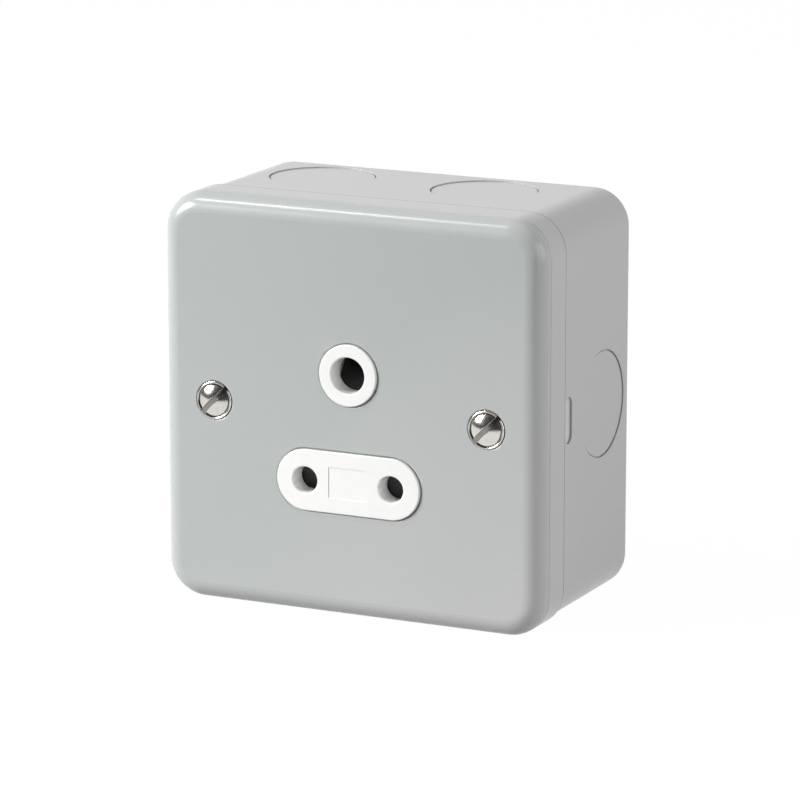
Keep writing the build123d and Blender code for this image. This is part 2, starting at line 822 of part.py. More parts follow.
line_contacts = {"line": line_x, "neutral": -line_x}
for name, x in line_contacts.items():
    contact = make_contact(x, line_level, line_bore, line_tube, line_block, line_mouth, line_root, line_end)
    save(contact, name + "_contact")
    save(make_clip(x, line_level, line_block, line_mouth, 45), name + "_contact_clip")
    save(make_terminal_screw(x, line_level, line_root, line_end), name + "_terminal_screw")
earth_contact = make_contact(
    0, earth_level, earth_bore, earth_tube, earth_block, earth_mouth, earth_root, earth_end
)
save(earth_contact, "earth_contact")
save(make_clip(0, earth_level, earth_block, earth_mouth, 45), "earth_contact_clip")
save(make_terminal_screw(0, earth_level, earth_root, earth_end), "earth_terminal_screw")

save(make_moulding_screw(-moulding_screw_x), "moulding_screw_left")
save(make_moulding_screw(moulding_screw_x), "moulding_screw_right")
for row, z in (("upper", stud_upper_level), ("lower", stud_lower_level)):
    for hand, x in (("left", -stud_x), ("right", stud_x)):
        seat = flange_low
        if row == "upper" and hand == "right":
            seat = flange_low - strap_sheet
        save(make_stud(x, z), "cover_stud_" + row + "_" + hand)
        save(make_nut(x, z, seat), "cover_nut_" + row + "_" + hand)
save(make_strap(), "earth_strap")
save(make_box_terminal(), "box_earth_terminal")
save(make_box_terminal_screw(), "box_earth_screw")
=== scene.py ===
"""Looks of the metal clad socket outlet: finishes, threaded fasteners, camera, lamps and floor."""
import logging
import math
from dataclasses import dataclass, field
from enum import Enum
from typing import Any

import bmesh
import bpy
from mathutils import Euler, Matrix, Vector


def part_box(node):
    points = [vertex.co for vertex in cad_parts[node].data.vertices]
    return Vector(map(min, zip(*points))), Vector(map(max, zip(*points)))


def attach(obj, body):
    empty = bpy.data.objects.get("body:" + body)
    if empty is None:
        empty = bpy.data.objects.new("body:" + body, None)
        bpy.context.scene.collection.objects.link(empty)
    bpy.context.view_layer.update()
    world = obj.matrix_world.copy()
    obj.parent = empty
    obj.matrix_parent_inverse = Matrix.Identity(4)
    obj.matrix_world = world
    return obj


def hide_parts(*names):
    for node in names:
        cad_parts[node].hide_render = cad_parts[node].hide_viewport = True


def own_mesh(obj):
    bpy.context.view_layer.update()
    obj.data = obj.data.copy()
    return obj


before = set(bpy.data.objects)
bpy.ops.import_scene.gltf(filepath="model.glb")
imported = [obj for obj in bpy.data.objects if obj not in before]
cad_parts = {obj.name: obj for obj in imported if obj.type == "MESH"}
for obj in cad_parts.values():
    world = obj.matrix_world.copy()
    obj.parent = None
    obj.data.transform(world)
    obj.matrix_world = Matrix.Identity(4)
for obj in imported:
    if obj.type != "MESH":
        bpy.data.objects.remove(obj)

LOG = logging.getLogger("socket_outlet")
MM = 0.001
SHARP_ANGLE = math.radians(38)
# Most of a noise lies between these values
NOISE_ENDS = (0.3, 0.7)
# A number, or a socket that gives one
Number = bpy.types.NodeSocket | float


class Body(Enum):
    """Bodies of the frame that pieces ride on."""

    HOUSING = "housing"
    SHUTTER = "shutter"


class Slot(Enum):
    """Material slots of the record."""

    PAINT = "grey_paint"
    PLATED_SCREW = "plated_screw"
    WHITE_FRONT = "white_urea"
    BASE = "base_moulding"
    SHUTTER = "shutter_nylon"
    SPRING = "spring_steel"
    BRASS = "brass"
    ZINC = "zinc_steel"


def linear(hex_colour: str) -> tuple[float, float, float, float]:
    """Turn an sRGB hex colour into linear light.

    Args:
        hex_colour: Colour as "#RRGGBB".

    Returns:
        Red, green, blue and an alpha of one.
    """
    parts = [int(hex_colour[i:i + 2], 16) / 255 for i in (1, 3, 5)]
    light = [p / 12.92 if p <= 0.04045 else ((p + 0.055) / 1.055) ** 2.4 for p in parts]
    return (light[0], light[1], light[2], 1.0)


def per_metre(size_mm: float) -> float:
    """Scale of a pattern on Object coordinates.

    Args:
        size_mm: Size of a feature.

    Returns:
        Features in a metre.
    """
    return 1.0 / (size_mm * MM)


def add(tree: bpy.types.NodeTree, kind: str, settings: dict[str, Any], inputs: dict[Any, Any]) -> bpy.types.Node:
    """Add one node to a tree.

    Args:
        tree: Shader or geometry tree.
        kind: Node type.
        settings: Properties of the node.
        inputs: Values or sockets for its inputs, by name or index.

    Returns:
        The new node.
    """
    node = tree.nodes.new(kind)
    for name, value in settings.items():
        setattr(node, name, value)
    for key, value in inputs.items():
        if isinstance(value, bpy.types.NodeSocket):
            tree.links.new(value, node.inputs[key])
        else:
            node.inputs[key].default_value = value
    return node


def compute(tree: bpy.types.NodeTree, operation: str, first: Number, second: Number = 0.0) -> bpy.types.NodeSocket:
    """Work out one number.

    Args:
        tree: Shader or geometry tree.
        operation: Operation of the math node.
        first: First number or socket.
        second: Second one, for operations that take two.

    Returns:
        The result.
    """
    return add(tree, "ShaderNodeMath", {"operation": operation}, {0: first, 1: second}).outputs[0]


def blank_tree(owner: bpy.types.Material | bpy.types.World) -> bpy.types.NodeTree:
    """Give a material or a world an empty tree.

    Args:
        owner: What the tree belongs to.

    Returns:
        The tree, without nodes.
    """
    owner.use_nodes = True
    owner.node_tree.nodes.clear()
    return owner.node_tree


# Finishes


@dataclass(frozen=True)
class Finish:
    """What every finish has: a name and a way to make its material."""

    name: str = "finish"

    def shader(self, tree: bpy.types.NodeTree, place: bpy.types.NodeSocket) -> dict[str, Any]:
        """Make the patterns of the finish.

        Args:
            tree: Tree of the new material.
            place: Object coordinates.

        Returns:
            Inputs of the Principled shader.
        """
        raise NotImplementedError

    def material(self) -> bpy.types.Material:
        """Make the material.

        Returns:
            A material with a Principled shader and the patterns of the finish.
        """
        made = bpy.data.materials.new(self.name)
        tree = blank_tree(made)
        place = add(tree, "ShaderNodeTexCoord", {}, {}).outputs["Object"]
        shader = add(tree, "ShaderNodeBsdfPrincipled", {}, self.shader(tree, place))
        add(tree, "ShaderNodeOutputMaterial", {}, {"Surface": shader.outputs["BSDF"]})
        return made


def noise(tree: bpy.types.NodeTree, place: bpy.types.NodeSocket, size_mm: float, detail: float = 2.0,
          roughness: float = 0.5) -> bpy.types.NodeSocket:
    """Noise of a real size.

    Args:
        tree: Tree that gets the noise.
        place: Coordinates in metres.
        size_mm: Size of a feature.
        detail: Octaves of the noise.
        roughness: Weight of the finer octaves.

    Returns:
        The grey value, from nought to one.
    """
    made = add(tree, "ShaderNodeTexNoise", {}, {
        "Vector": place, "Scale": per_metre(size_mm), "Detail": detail, "Roughness": roughness})
    return made.outputs[0]


def ramp(tree: bpy.types.NodeTree, value: bpy.types.NodeSocket, low: Number, high: Number, start: Number,
         end: Number) -> bpy.types.NodeSocket:
    """Map a value from one range to another, held at its ends.

    Args:
        tree: Tree that gets the node.
        value: Value to map.
        low: Lower end of the value.
        high: Upper end of the value.
        start: Result at the lower end.
        end: Result at the upper end.

    Returns:
        The mapped value.
    """
    made = add(tree, "ShaderNodeMapRange", {"clamp": True}, {
        "Value": value, "From Min": low, "From Max": high, "To Min": start, "To Max": end})
    return made.outputs["Result"]


def uneven(tree: bpy.types.NodeTree, place: bpy.types.NodeSocket, size_mm: float, detail: float,
           ends: tuple[float, float]) -> bpy.types.NodeSocket:
    """Value that wanders between two ends, as noise stretched over its common range.

    Args:
        tree: Tree that gets the noise.
        place: Coordinates in metres.
        size_mm: Size of a feature.
        detail: Octaves of the noise.
        ends: Lowest and highest result.

    Returns:
        The wandering value.
    """
    return ramp(tree, noise(tree, place, size_mm, detail), *NOISE_ENDS, *ends)


def blend_colour(tree: bpy.types.NodeTree, amount: bpy.types.NodeSocket, first: bpy.types.NodeSocket | str,
                 second: str) -> bpy.types.NodeSocket:
    """Blend two colours.

    Args:
        tree: Tree that gets the node.
        amount: Share of the second colour.
        first: Colour at nought, in hex or as a socket.
        second: Colour at one, in hex.

    Returns:
        The blended colour.
    """
    ground = linear(first) if isinstance(first, str) else first
    made = add(tree, "ShaderNodeMix", {"data_type": "RGBA"}, {0: amount, 6: ground, 7: linear(second)})
    return made.outputs[2]


def bump(tree: bpy.types.NodeTree, height: bpy.types.NodeSocket, depth_mm: float) -> bpy.types.NodeSocket:
    """Bump of a real depth.

    Args:
        tree: Tree that gets the node.
        height: Height from nought to one.
        depth_mm: Depth between nought and one.

    Returns:
        The bent normal.
    """
    made = add(tree, "ShaderNodeBump", {}, {"Strength": 1.0, "Distance": depth_mm * MM, "Height": height})
    return made.outputs["Normal"]


@dataclass(frozen=True)
class StovedEnamel(Finish):
    """Grey enamel sprayed on pressed steel and stoved.

    An even satin with faint orange peel and fine specks. Greener and darker at the upper left of the cover, lighter
    and neutral towards the lower right and over the box: the tint is real, the lightening is painted light. A thin
    dark line of painted shade runs along the rim's step.
    """

    name: str = "stoved_grey_enamel_on_pressed_steel"
    body: str = "#B7BCBA"
    # Lighter neutral colour towards the lower right of the cover's face and over the box: partly a real tint, partly
    # painted light
    tint_and_painted_light: str = "#C3C3C3"
    tint_and_light_way: tuple[float, float, float] = (0.55, 15.0, -0.83)
    tint_and_light_start: float = -0.6825
    tint_and_light_width: float = 0.045
    cloud_mm: float = 60.0
    cloud_swing: float = 0.012
    speck: str = "#AFB2B0"
    speck_mm: float = 0.4
    speck_share: float = 0.35
    # Colour of painted shade: a thin dark line along the rim's step, where the crease lies in shade
    step: str = "#7F8281"
    step_shade_y_mm: float = -34.15
    step_shade_width_mm: float = 0.5
    step_shade_share: float = 0.8
    peel_mm: float = 1.1
    peel_depth_mm: float = 0.009
    sheen: tuple[float, float] = (0.225, 0.265)

    def shader(self, tree: bpy.types.NodeTree, place: bpy.types.NodeSocket) -> dict[str, Any]:
        """Tint with painted light towards the lower right, fine specks, painted shade along the rim's step, and
        orange peel.
        """
        # Greener and darker at the upper left, lighter and neutral towards the lower right and the back: the tint is
        # real, the lightening is painted light
        across = add(tree, "ShaderNodeVectorMath", {"operation": "DOT_PRODUCT"}, {0: place, 1: self.tint_and_light_way})
        cloud = uneven(tree, place, self.cloud_mm, 1.0, (-self.cloud_swing, self.cloud_swing))
        tint_and_painted_light = ramp(tree, compute(tree, "ADD", across.outputs["Value"], cloud), self.tint_and_light_start,
                     self.tint_and_light_start + self.tint_and_light_width, 0.0, 1.0)
        ground = blend_colour(tree, tint_and_painted_light, self.body, self.tint_and_painted_light)
        specks = ramp(tree, noise(tree, place, self.speck_mm, 1.0), 0.62, 0.76, 0.0, self.speck_share)
        dotted = blend_colour(tree, specks, ground, self.speck)
        # Painted shade: a thin dark line along the rim's step, at a fixed depth along Y
        depth = add(tree, "ShaderNodeSeparateXYZ", {}, {"Vector": place}).outputs["Y"]
        apart = compute(tree, "ABSOLUTE", compute(tree, "SUBTRACT", depth, self.step_shade_y_mm * MM))
        half = self.step_shade_width_mm * MM / 2
        drawn = ramp(tree, apart, half / 2, half, self.step_shade_share, 0.0)
        return {"Base Color": blend_colour(tree, drawn, dotted, self.step), "IOR": 1.5,
                "Roughness": uneven(tree, place, self.peel_mm * 4, 2.0, self.sheen),
                "Normal": bump(tree, noise(tree, place, self.peel_mm, 2.0, 0.55), self.peel_depth_mm)}


@dataclass(frozen=True)
class MouldedUrea(Finish):
    """Urea pressed in a polished mould: hard and white with a clear gloss and a very faint mottle."""

    name: str = "compression_moulded_white_urea"
    body: str = "#F8F8F6"
    mottle: str = "#F6F6F3"
    mottle_mm: float = 2.2
    gloss: float = 0.2
    gloss_spread: float = 0.06
    ripple_mm: float = 0.9
    ripple_depth_mm: float = 0.004

    def shader(self, tree: bpy.types.NodeTree, place: bpy.types.NodeSocket) -> dict[str, Any]:
        """Faint mottle of the powder and a slow ripple of the mould's polish."""
        mottle = ramp(tree, noise(tree, place, self.mottle_mm, 4.0, 0.6), 0.4, 0.65, 0.0, 1.0)
        sheen = (self.gloss, self.gloss + self.gloss_spread)
        return {"Base Color": blend_colour(tree, mottle, self.body, self.mottle), "IOR": 1.55,
                "Roughness": uneven(tree, place, self.mottle_mm * 3, 2.0, sheen),
                "Normal": bump(tree, noise(tree, place, self.ripple_mm, 2.0), self.ripple_depth_mm)}


@dataclass(frozen=True)
class BrightNickel(Finish):
    """Nickel plated on a cold-headed steel screw: bright, with the faint drag lines of the header's punch."""

    name: str = "bright_nickel_plated_steel"
    body: str = "#DAD7D1"
    stain: str = "#B9B5AE"
    stain_mm: float = 1.4
    stain_share: float = 0.4
    drag_mm: float = 0.22
    drag_depth_mm: float = 0.004
    drag_angle: float = 45.0
    drag_stretch: float = 0.12
    # Colour of painted shade low in the ring groove and the slot
    groove_shade: str = "#55534F"
    groove_shade_mm: tuple[float, float, float, float] = (-45.62, -45.40, -44.90, -44.70)
    groove_shade_share: float = 0.68
    sheen_mm: float = 0.8
    sheen: tuple[float, float] = (0.14, 0.21)

    def shader(self, tree: bpy.types.NodeTree, place: bpy.types.NodeSocket) -> dict[str, Any]:
        """Drag lines across the head, small dull places, and painted shade low in the ring groove and the slot."""
        turned = add(tree, "ShaderNodeMapping", {}, {
            "Vector": place, "Rotation": (0.0, math.radians(self.drag_angle), 0.0),
            "Scale": (self.drag_stretch, 1.0, 1.0)})
        drag = noise(tree, turned.outputs["Vector"], self.drag_mm, 2.0)
        dull = ramp(tree, noise(tree, place, self.stain_mm, 3.0, 0.6), 0.5, 0.75, 0.0, self.stain_share)
        # Painted shade: darker colour low in the ring groove and the slot, by depth along Y
        start, full, end, gone = (y * MM for y in self.groove_shade_mm)
        depth = add(tree, "ShaderNodeSeparateXYZ", {}, {"Vector": place}).outputs["Y"]
        groove_shade_mask = compute(tree, "MULTIPLY", ramp(tree, depth, start, full, 0.0, self.groove_shade_share),
                       ramp(tree, depth, end, gone, 1.0, 0.0))
        plate = blend_colour(tree, dull, self.body, self.stain)
        return {"Base Color": blend_colour(tree, groove_shade_mask, plate, self.groove_shade), "Metallic": 1.0,
                "Roughness": uneven(tree, place, self.sheen_mm, 2.0, self.sheen),
                "Normal": bump(tree, drag, self.drag_depth_mm)}


@dataclass(frozen=True)
class MouldedNylon(Finish):
    """Black nylon from an injection mould: dull satin with a fine grain, and small glints at its edges."""

    name: str = "injection_moulded_black_nylon"
    body: str = "#17181A"
    worn: str = "#26282B"
    worn_mm: float = 1.6
    sheen: float = 0.34
    grain_mm: float = 0.3
    grain_depth_mm: float = 0.008

    def shader(self, tree: bpy.types.NodeTree, place: bpy.types.NodeSocket) -> dict[str, Any]:
        """Fine grain and paler rubbed places."""
        rubbed = ramp(tree, noise(tree, place, self.worn_mm, 4.0, 0.6), 0.5, 0.72, 0.0, 1.0)
        return {"Base Color": blend_colour(tree, rubbed, self.body, self.worn), "Roughness": self.sheen, "IOR": 1.53,
                "Normal": bump(tree, noise(tree, place, self.grain_mm, 2.0), self.grain_depth_mm)}


@dataclass(frozen=True)
class DrawnSteel(Finish):
    """Spring steel drawn and tempered: grey metal with fine lines along the draw."""

    name: str = "drawn_spring_steel"
    body: str = "#8E9094"
    temper: str = "#7C7A78"
    temper_mm: float = 3.0
    sheen: float = 0.3
    line_mm: float = 0.25
    line_depth_mm: float = 0.006
    line_stretch: float = 0.1

    def shader(self, tree: bpy.types.NodeTree, place: bpy.types.NodeSocket) -> dict[str, Any]:
        """Fine lines and a faint temper colour."""
        along = add(tree, "ShaderNodeMapping", {}, {"Vector": place, "Scale": (1.0, 1.0, self.line_stretch)})
        lines = noise(tree, along.outputs["Vector"], self.line_mm, 2.0)
        temper = ramp(tree, noise(tree, place, self.temper_mm, 2.0), 0.4, 0.7, 0.0, 1.0)
        return {"Base Color": blend_colour(tree, temper, self.body, self.temper), "Metallic": 1.0,
                "Roughness": self.sheen, "Normal": bump(tree, lines, self.line_depth_mm)}


@dataclass(frozen=True)
class TurnedBrass(Finish):
    """Free-cutting brass, turned and sawn: yellow metal with tool lines and slightly browner patches."""

    name: str = "turned_free_cutting_brass"
    body: str = "#D2AE63"
    brown: str = "#AE8440"
    brown_mm: float = 5.0
    brown_share: float = 0.8
    tool_mm: float = 0.3
    tool_depth_mm: float = 0.012
    tool_stretch: float = 0.06
    sheen_mm: float = 1.5
    sheen: tuple[float, float] = (0.26, 0.4)

    def shader(self, tree: bpy.types.NodeTree, place: bpy.types.NodeSocket) -> dict[str, Any]:
        """Tool lines square to the pins and slow browning."""
        along = add(tree, "ShaderNodeMapping", {}, {
            "Vector": place, "Scale": (self.tool_stretch, 1.0, self.tool_stretch)})
        lines = noise(tree, along.outputs["Vector"], self.tool_mm, 1.0)
        brown = ramp(tree, noise(tree, place, self.brown_mm, 4.0, 0.6), 0.45, 0.75, 0.0, self.brown_share)
        return {"Base Color": blend_colour(tree, brown, self.body, self.brown), "Metallic": 1.0,
                "Roughness": uneven(tree, place, self.sheen_mm, 3.0, self.sheen),
                "Normal": bump(tree, lines, self.tool_depth_mm)}


@dataclass(frozen=True)
class ZincPlate(Finish):
    """Zinc plated mild steel, passivated: cool grey with a faint blue and yellow bloom."""

    name: str = "passivated_zinc_plated_steel"
    body: str = "#B9BEC4"
    bloom: str = "#B8B5A4"
    bloom_mm: float = 4.0
    sheen_mm: float = 0.9
    sheen: tuple[float, float] = (0.32, 0.46)
    grain_mm: float = 0.5
    grain_depth_mm: float = 0.010

    def shader(self, tree: bpy.types.NodeTree, place: bpy.types.NodeSocket) -> dict[str, Any]:
        """Bloom of the passivation and the grain of the sheet."""
        bloom = ramp(tree, noise(tree, place, self.bloom_mm, 3.0, 0.6), 0.4, 0.7, 0.0, 1.0)
        return {"Base Color": blend_colour(tree, bloom, self.body, self.bloom), "Metallic": 1.0,
                "Roughness": uneven(tree, place, self.sheen_mm, 3.0, self.sheen),
                "Normal": bump(tree, noise(tree, place, self.grain_mm, 2.0), self.grain_depth_mm)}


class Workshop:
    """Makes each finish once and puts it on nodes and pieces."""

    def __init__(self) -> None:
        """Make the material of every slot."""
        self.materials: dict[Slot, bpy.types.Material] = {
            Slot.PAINT: StovedEnamel().material(),
            Slot.PLATED_SCREW: BrightNickel().material(),
            Slot.WHITE_FRONT: MouldedUrea().material(),
            Slot.BASE: MouldedUrea(name="compression_moulded_dull_urea", body="#DDDDD6", mottle="#D3D3CA",
                                   gloss=0.42).material(),
            Slot.SHUTTER: MouldedNylon().material(),
            Slot.SPRING: DrawnSteel().material(),
            Slot.BRASS: TurnedBrass().material(),
            Slot.ZINC: ZincPlate().material(),
        }

    def dress(self, node: str, slot: Slot) -> None:
        """Put a finish on a node of the frame.

        Args:
            node: Name of the node.
            slot: Slot whose finish it gets.
        """
        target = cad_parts[node]
        if not target.material_slots:
            target.data.materials.append(None)
        for place in target.material_slots:
            place.material = self.materials[slot]
        LOG.info("dressed %s in %s", node, self.materials[slot].name)

    def mount(self, piece: bpy.types.Object, body: Body, nodes: tuple[str, ...]) -> None:
        """Let a piece ride on a body in the place of its nodes.

        Args:
            piece: Finished mesh object.
            body: Body that carries it.
            nodes: Nodes of the frame that it stands for.
        """
        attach(piece, body.value)
        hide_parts(*nodes)
        LOG.info("mounted %s on %s, %d faces", piece.name, body.value, len(piece.data.polygons))


# Meshes


def turned_mesh(name: str, profile: list[tuple[float, float]], steps: int) -> bpy.types.Mesh:
    """Turn a profile round the Y axis.

    Args:
        name: Name of the mesh.
        profile: Radius and Y of each point in millimetres, from the front of the axis to its back.
        steps: Number of points round the axis.

    Returns:
        A closed mesh whose faces point outwards.
    """
    mesh = bmesh.new()
    rings: list[list[bmesh.types.BMVert]] = []
    for radius, y in profile:
        if radius < 1e-6:
            rings.append([mesh.verts.new((0.0, y * MM, 0.0))])
            continue
        turns = [2 * math.pi * i / steps for i in range(steps)]
        rings.append([mesh.verts.new((radius * MM * math.cos(t), y * MM, radius * MM * math.sin(t))) for t in turns])
    for low, high in zip(rings, rings[1:]):
        for i in range(steps):
            j = (i + 1) % steps
            corners = [low[i % len(low)], low[j % len(low)], high[j % len(high)], high[i % len(high)]]
            mesh.faces.new(list(dict.fromkeys(corners)))
    bmesh.ops.recalc_face_normals(mesh, faces=mesh.faces)
    made = bpy.data.meshes.new(name)
    mesh.to_mesh(made)
    mesh.free()
    return made


def plain_object(name: str, mesh: bpy.types.Mesh) -> bpy.types.Object:
    """Link a mesh to the scene as an object at the origin.

    Args:
        name: Name of the object.
        mesh: Its mesh.

    Returns:
        The object.
    """
    made = bpy.data.objects.new(name, mesh)
    bpy.context.scene.collection.objects.link(made)
    return made


def settle(piece: bpy.types.Object) -> None:
    """Apply all modifiers of a piece, which leaves a plain mesh.

    Args:
        piece: Object with live modifiers.
    """
    graph = bpy.context.evaluated_depsgraph_get()
    graph.update()
    made = bpy.data.meshes.new_from_object(piece.evaluated_get(graph), preserve_all_data_layers=True, depsgraph=graph)
    piece.modifiers.clear()
    old = piece.data
    piece.data = made
    bpy.data.meshes.remove(old)


@dataclass(frozen=True)
class Recipe:
    """Geometry Nodes tree of a piece, with the identifier of each named input."""

    tree: bpy.types.GeometryNodeTree
    inputs: dict[str, str]

    @classmethod
    def start(cls, name: str, kinds: dict[str, str]) -> "Recipe":
        """Open a tree with named inputs, the last of them for the finish.

        Args:
            name: Name of the tree.
            kinds: Kind of each input by its name, such as Float or Vector.

        Returns:
            The recipe, without nodes.
        """
        tree = bpy.data.node_groups.new(name, "GeometryNodeTree")
        sockets = tree.interface
        sockets.new_socket("Geometry", in_out="INPUT", socket_type="NodeSocketGeometry")
        inputs = {title: sockets.new_socket(title, in_out="INPUT", socket_type=f"NodeSocket{kind}").identifier
                  for title, kind in {**kinds, "Finish": "Material"}.items()}
        sockets.new_socket("Geometry", in_out="OUTPUT", socket_type="NodeSocketGeometry")
        return cls(tree, inputs)

    def given(self) -> bpy.types.NodeOutputs:
        """Add the node that gives the named inputs.

        Returns:
            Its sockets, by the name of the input.
        """
        return add(self.tree, "NodeGroupInput", {}, {}).outputs

    def end(self, shape: bpy.types.NodeSocket) -> None:
        """End the tree in real geometry that wears the finish.

        Args:
            shape: Geometry so far.
        """
        real = add(self.tree, "GeometryNodeRealizeInstances", {}, {"Geometry": shape})
        painted = add(self.tree, "GeometryNodeSetMaterial", {}, {
            "Geometry": real.outputs[0], "Material": self.given()["Finish"]})
        add(self.tree, "NodeGroupOutput", {}, {0: painted.outputs[0]})

    def grow(self, name: str, values: dict[str, Any], finish: bpy.types.Material) -> bpy.types.Object:
        """Run the tree on a new piece and turn it into a plain mesh.

        Args:
            name: Name of the piece.
            values: Value of each input by its name.
            finish: The piece's only material.

        Returns:
            The piece, smoothly shaded.
        """
        piece = plain_object(name, bpy.data.meshes.new(name))
        modifier = piece.modifiers.new("recipe", "NODES")
        modifier.node_group = self.tree
        for title, value in {**values, "Finish": finish}.items():
            modifier[self.inputs[title]] = value
        settle(piece)
        piece.data.materials.clear()
        piece.data.materials.append(finish)
        for face in piece.data.polygons:
            face.material_index = 0
        piece.data.shade_smooth()
        return piece


@dataclass(frozen=True)
class FastenerTree:
    """Makes the recipe of a headed core with a thread wound on it, set out in columns and rows."""

    ridge_share: float = 0.42
    points_in_turn: int = 40

    def build(self) -> Recipe:
        """Build the tree.

        Returns:
            The recipe of all fastener sets.
        """
        recipe = Recipe.start("threaded_fastener_set", {
            "Core": "Object", "Thread radius": "Float", "Thread pitch": "Float", "Thread length": "Float",
            "Thread start": "Vector", "Columns": "Int", "Column step": "Vector", "Rows": "Int",
            "Row step": "Vector", "First place": "Vector"})
        tree, given = recipe.tree, recipe.given()
        core = add(tree, "GeometryNodeObjectInfo", {}, {"Object": given["Core"]})
        turns = compute(tree, "DIVIDE", given["Thread length"], given["Thread pitch"])
        spiral = add(tree, "GeometryNodeCurveSpiral", {}, {
            "Resolution": self.points_in_turn, "Rotations": turns, "Start Radius": given["Thread radius"],
            "End Radius": given["Thread radius"], "Height": given["Thread length"]})
        ridge_size = compute(tree, "MULTIPLY", given["Thread pitch"], self.ridge_share)
        ridge = add(tree, "GeometryNodeCurvePrimitiveCircle", {}, {"Resolution": 4, "Radius": ridge_size})
        wound = add(tree, "GeometryNodeCurveToMesh", {}, {
            "Curve": spiral.outputs[0], "Profile Curve": ridge.outputs[0], "Fill Caps": True})
        laid = add(tree, "GeometryNodeTransform", {}, {
            "Geometry": wound.outputs[0], "Rotation": (math.radians(-90), 0.0, 0.0),
            "Translation": given["Thread start"]})
        joined = add(tree, "GeometryNodeJoinGeometry", {}, {})
        for part in (core.outputs["Geometry"], laid.outputs[0]):
            tree.links.new(part, joined.inputs[0])
        across = add(tree, "GeometryNodeMeshLine", {"mode": "OFFSET"}, {
            "Count": given["Columns"], "Offset": given["Column step"], "Start Location": given["First place"]})
        down = add(tree, "GeometryNodeMeshLine", {"mode": "OFFSET"}, {
            "Count": given["Rows"], "Offset": given["Row step"]})
        column = add(tree, "GeometryNodeInstanceOnPoints", {}, {
            "Points": across.outputs[0], "Instance": joined.outputs[0]})
        row = add(tree, "GeometryNodeInstanceOnPoints", {}, {
            "Points": down.outputs[0], "Instance": column.outputs[0]})
        recipe.end(row.outputs[0])
        return recipe


@dataclass
class FastenerSet:
    """One set of equal threaded fasteners, sizes in millimetres."""

    name: str
    core: bpy.types.Object
    thread_radius: float
    thread_pitch: float
    thread_length: float
    thread_start: float
    first: tuple[float, float, float]
    columns: int = 1
    column_step: float = 0.0
    rows: int = 1
    row_step: float = 0.0

    def build(self, recipe: Recipe, finish: bpy.types.Material) -> bpy.types.Object:
        """Set the fasteners out, which uses up the core.

        Args:
            recipe: Recipe of the fastener sets.
            finish: Material of the set.

        Returns:
            The finished piece, a plain mesh with sharp edges.
        """
        piece = recipe.grow(self.name, {
            "Core": self.core, "Thread radius": self.thread_radius * MM, "Thread pitch": self.thread_pitch * MM,
            "Thread length": self.thread_length * MM, "Thread start": (0.0, self.thread_start * MM, 0.0),
            "Columns": self.columns, "Column step": (self.column_step * MM, 0.0, 0.0), "Rows": self.rows,
            "Row step": (0.0, 0.0, self.row_step * MM), "First place": tuple(v * MM for v in self.first)}, finish)
        bpy.data.objects.remove(self.core)
        piece.data.set_sharp_from_angle(angle=SHARP_ANGLE)
        return piece


